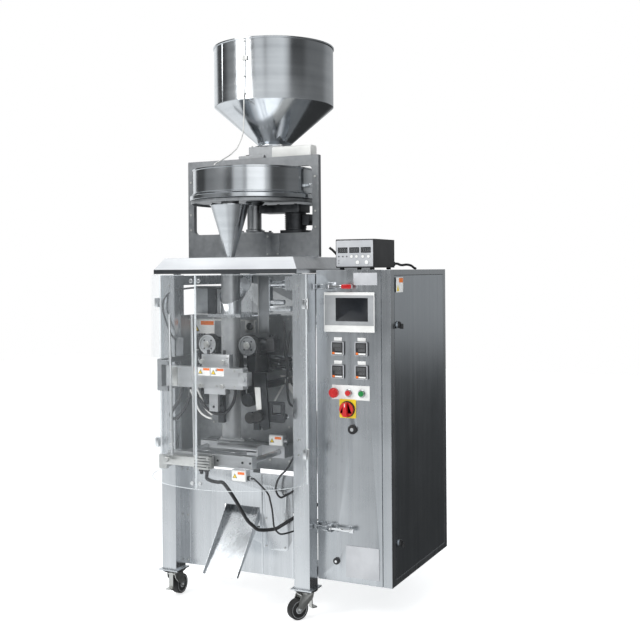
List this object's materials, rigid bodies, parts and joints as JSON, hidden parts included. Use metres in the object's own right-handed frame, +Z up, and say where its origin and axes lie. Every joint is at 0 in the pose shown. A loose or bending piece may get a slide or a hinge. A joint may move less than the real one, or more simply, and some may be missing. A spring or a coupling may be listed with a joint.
{
  "type": "vertical form fill sealer",
  "caption": "Vertical form fill seal machine on casters, with a hopper and cup filler on top, curved clear guards over the forming and sealing parts, and an electrical cabinet beside it.",
  "frame": {"origin": "centre of the bounding box at floor level", "axes": "+Z up; +X towards the electrical cabinet; the guards and the operator face -Y, and the film roll is at +Y"},
  "size_m": [1.0256, 1.325, 2.324],
  "materials": {
    "brushed_steel": "brushed",
    "satin_steel": "satin",
    "dark_metal": "satin",
    "polished_steel": "polished",
    "aluminium": "satin",
    "black_plastic": "matte",
    "rubber": "matte",
    "white_plastic": "satin",
    "clear_acrylic": "clear",
    "red_plastic": "gloss",
    "green_plastic": "gloss",
    "film": "gloss"
  },
  "bodies": {
    "base": {"main_frame": "brushed_steel", "machine_plate": "satin_steel", "front_cover_plate": "brushed_steel", "hood": "brushed_steel", "chute": "brushed_steel", "filler_stand": "satin_steel", "filler_table": "brushed_steel", "bowl": "brushed_steel", "filler_motor": "dark_metal", "discharge_funnel": "brushed_steel", "hopper": "brushed_steel", "gate_housing": "satin_steel", "forming_tube": "polished_steel", "forming_collar": "brushed_steel", "belt_guide": "polished_steel", "seal_arm_post": "satin_steel", "support_rods": "polished_steel", "tension_arm": "dark_metal", "jaw_guide_block": "aluminium", "cabinet_shell": "brushed_steel", "control_box": "black_plastic", "hose_bundle": "black_plastic", "jaw_cable": "black_plastic", "hopper_cable": "white_plastic"},
    "guard_left": {"guard_door_left": "clear_acrylic"},
    "guard_right": {"guard_door_right": "clear_acrylic"},
    "pull_unit_left": {"belt_unit_left": "dark_metal", "belt_left": "rubber"},
    "pull_unit_right": {"belt_unit_right": "dark_metal", "belt_right": "rubber"},
    "pulley_left": {"belt_pulley_left": "brushed_steel"},
    "pulley_right": {"belt_pulley_right": "brushed_steel"},
    "arm": {"seal_arm": "aluminium"},
    "vertical_bar": {"seal_bar": "dark_metal"},
    "jaw_front": {"front_jaw": "aluminium"},
    "jaw_rear": {"rear_jaw": "aluminium"},
    "blade": {"knife": "brushed_steel"},
    "door": {"cabinet_door": "brushed_steel", "touch_screen": "black_plastic", "temperature_panel": "black_plastic", "switch_plate": "white_plastic"},
    "side_door": {"cabinet_side_panel": "satin_steel"},
    "emergency": {"emergency_stop": "red_plastic"},
    "stop": {"stop_button": "red_plastic"},
    "start": {"start_button": "green_plastic"},
    "switch": {"main_switch_handle": "red_plastic"},
    "latch_upper": {"latch_handle_upper": "red_plastic"},
    "latch_lower": {"latch_handle_lower": "brushed_steel"},
    "disc": {"metering_disc": "brushed_steel"},
    "gate": {"gate_slide": "black_plastic"},
    "roll": {"film_roll": "film"},
    "roller": {"guide_roller": "aluminium"},
    "fork_front_left": {"caster_fork_front_left": "polished_steel"},
    "wheel_front_left": {"caster_wheel_front_left": "rubber"},
    "fork_front_right": {"caster_fork_front_right": "polished_steel"},
    "wheel_front_right": {"caster_wheel_front_right": "rubber"},
    "fork_rear_left": {"caster_fork_rear_left": "polished_steel"},
    "wheel_rear_left": {"caster_wheel_rear_left": "rubber"},
    "fork_rear_right": {"caster_fork_rear_right": "polished_steel"},
    "wheel_rear_right": {"caster_wheel_rear_right": "rubber"}
  },
  "joints": [
    {"name": "guard_left_swing", "type": "hinge", "parent": "base", "child": "guard_left", "pos_m": [-0.50675, -0.4105, 0.94], "axis": [0, 0, -1], "range_deg": [0, 100]},
    {"name": "guard_right_swing", "type": "hinge", "parent": "base", "child": "guard_right", "pos_m": [0.19425, -0.4105, 0.94], "axis": [0, 0, 1], "range_deg": [0, 100]},
    {"name": "pull_left_press", "type": "slide", "parent": "base", "child": "pull_unit_left", "axis": [1, 0, 0], "range_m": [0, 0.0112]},
    {"name": "pull_right_press", "type": "slide", "parent": "base", "child": "pull_unit_right", "axis": [-1, 0, 0], "range_m": [0, 0.0112]},
    {"name": "pulley_left_turn", "type": "hinge", "parent": "pull_unit_left", "child": "pulley_left", "pos_m": [-0.24925, -0.4125, 1.063], "axis": [0, 1, 0], "continuous": true},
    {"name": "pulley_right_turn", "type": "hinge", "parent": "pull_unit_right", "child": "pulley_right", "pos_m": [-0.06325, -0.4125, 1.063], "axis": [0, 1, 0], "continuous": true},
    {"name": "seal_arm_swing", "type": "hinge", "parent": "base", "child": "arm", "pos_m": [-0.36125, -0.5375, 0.945], "axis": [0, 0, -1], "range_deg": [0, 8]},
    {"name": "seal_bar_press", "type": "slide", "parent": "arm", "child": "vertical_bar", "axis": [0, 1, 0], "range_m": [0, 0.014]},
    {"name": "front_jaw_close", "type": "slide", "parent": "base", "child": "jaw_front", "axis": [0, 1, 0], "range_m": [0, 0.0446]},
    {"name": "rear_jaw_close", "type": "slide", "parent": "base", "child": "jaw_rear", "axis": [0, -1, 0], "range_m": [0, 0.0446]},
    {"name": "knife_cut", "type": "slide", "parent": "jaw_front", "child": "blade", "axis": [0, 1, 0], "range_m": [0, 0.025]},
    {"name": "cabinet_door_swing", "type": "hinge", "parent": "base", "child": "door", "pos_m": [0.46525, -0.323, 0.75], "axis": [0, 0, -1], "range_deg": [-110, 0]},
    {"name": "side_panel_swing", "type": "hinge", "parent": "base", "child": "side_door", "pos_m": [0.50455, 0.287, 0.75], "axis": [0, 0, 1], "range_deg": [0, 100]},
    {"name": "latch_upper_lift", "type": "hinge", "parent": "door", "child": "latch_upper", "pos_m": [0.25375, -0.3445, 1.296], "axis": [0, 0, 1], "range_deg": [-100, 0]},
    {"name": "latch_lower_lift", "type": "hinge", "parent": "door", "child": "latch_lower", "pos_m": [0.25375, -0.3445, 0.356], "axis": [0, 0, 1], "range_deg": [-100, 0]},
    {"name": "emergency_stop_press", "type": "slide", "parent": "door", "child": "emergency", "axis": [0, 1, 0], "range_m": [0, 0.0045], "stiffness_N_per_m": 1500},
    {"name": "stop_button_press", "type": "slide", "parent": "door", "child": "stop", "axis": [0, 1, 0], "range_m": [0, 0.004], "stiffness_N_per_m": 1000},
    {"name": "start_button_press", "type": "slide", "parent": "door", "child": "start", "axis": [0, 1, 0], "range_m": [0, 0.004], "stiffness_N_per_m": 1000},
    {"name": "main_switch_turn", "type": "hinge", "parent": "door", "child": "switch", "pos_m": [0.32375, -0.3425, 0.821], "axis": [0, 1, 0], "range_deg": [0, 90]},
    {"name": "metering_disc_turn", "type": "hinge", "parent": "base", "child": "disc", "pos_m": [-0.15625, -0.2025, 1.66], "axis": [0, 0, 1], "continuous": true},
    {"name": "gate_slide_pull", "type": "slide", "parent": "base", "child": "gate", "axis": [-1, 0, 0], "range_m": [0, 0.134]},
    {"name": "film_roll_turn", "type": "hinge", "parent": "base", "child": "roll", "pos_m": [-0.15625, 0.5125, 0.52], "axis": [1, 0, 0], "continuous": true},
    {"name": "guide_roller_turn", "type": "hinge", "parent": "base", "child": "roller", "pos_m": [-0.15625, 0.2275, 1.12], "axis": [1, 0, 0], "continuous": true},
    {"name": "caster_front_left_swivel", "type": "hinge", "parent": "base", "child": "fork_front_left", "pos_m": [-0.46625, -0.3575, 0.11], "axis": [0, 0, 1], "continuous": true},
    {"name": "caster_front_left_roll", "type": "hinge", "parent": "fork_front_left", "child": "wheel_front_left", "pos_m": [-0.46625, -0.3175, 0.041], "axis": [-1, 0, 0], "continuous": true},
    {"name": "caster_front_right_swivel", "type": "hinge", "parent": "base", "child": "fork_front_right", "pos_m": [0.15375, -0.3575, 0.11], "axis": [0, 0, 1], "continuous": true},
    {"name": "caster_front_right_roll", "type": "hinge", "parent": "fork_front_right", "child": "wheel_front_right", "pos_m": [0.13375, -0.39214, 0.041], "axis": [0.866, -0.5, 0], "continuous": true},
    {"name": "caster_rear_left_swivel", "type": "hinge", "parent": "base", "child": "fork_rear_left", "pos_m": [-0.46625, 0.2855, 0.11], "axis": [0, 0, 1], "continuous": true},
    {"name": "caster_rear_left_roll", "type": "hinge", "parent": "fork_rear_left", "child": "wheel_rear_left", "pos_m": [-0.44625, 0.32014, 0.041], "axis": [-0.866, 0.5, 0], "continuous": true},
    {"name": "caster_rear_right_swivel", "type": "hinge", "parent": "base", "child": "fork_rear_right", "pos_m": [0.15375, 0.2855, 0.11], "axis": [0, 0, 1], "continuous": true},
    {"name": "caster_rear_right_roll", "type": "hinge", "parent": "fork_rear_right", "child": "wheel_rear_right", "pos_m": [0.14007, 0.32309, 0.041], "axis": [-0.9397, -0.342, 0], "continuous": true}
  ],
  "couplings": [
    {"joint": "pull_right_press", "follows": "pull_left_press", "ratio": 1},
    {"joint": "pulley_right_turn", "follows": "pulley_left_turn", "ratio": -1},
    {"joint": "rear_jaw_close", "follows": "front_jaw_close", "ratio": 1},
    {"joint": "guide_roller_turn", "follows": "film_roll_turn", "ratio": 6.8182}
  ]
}
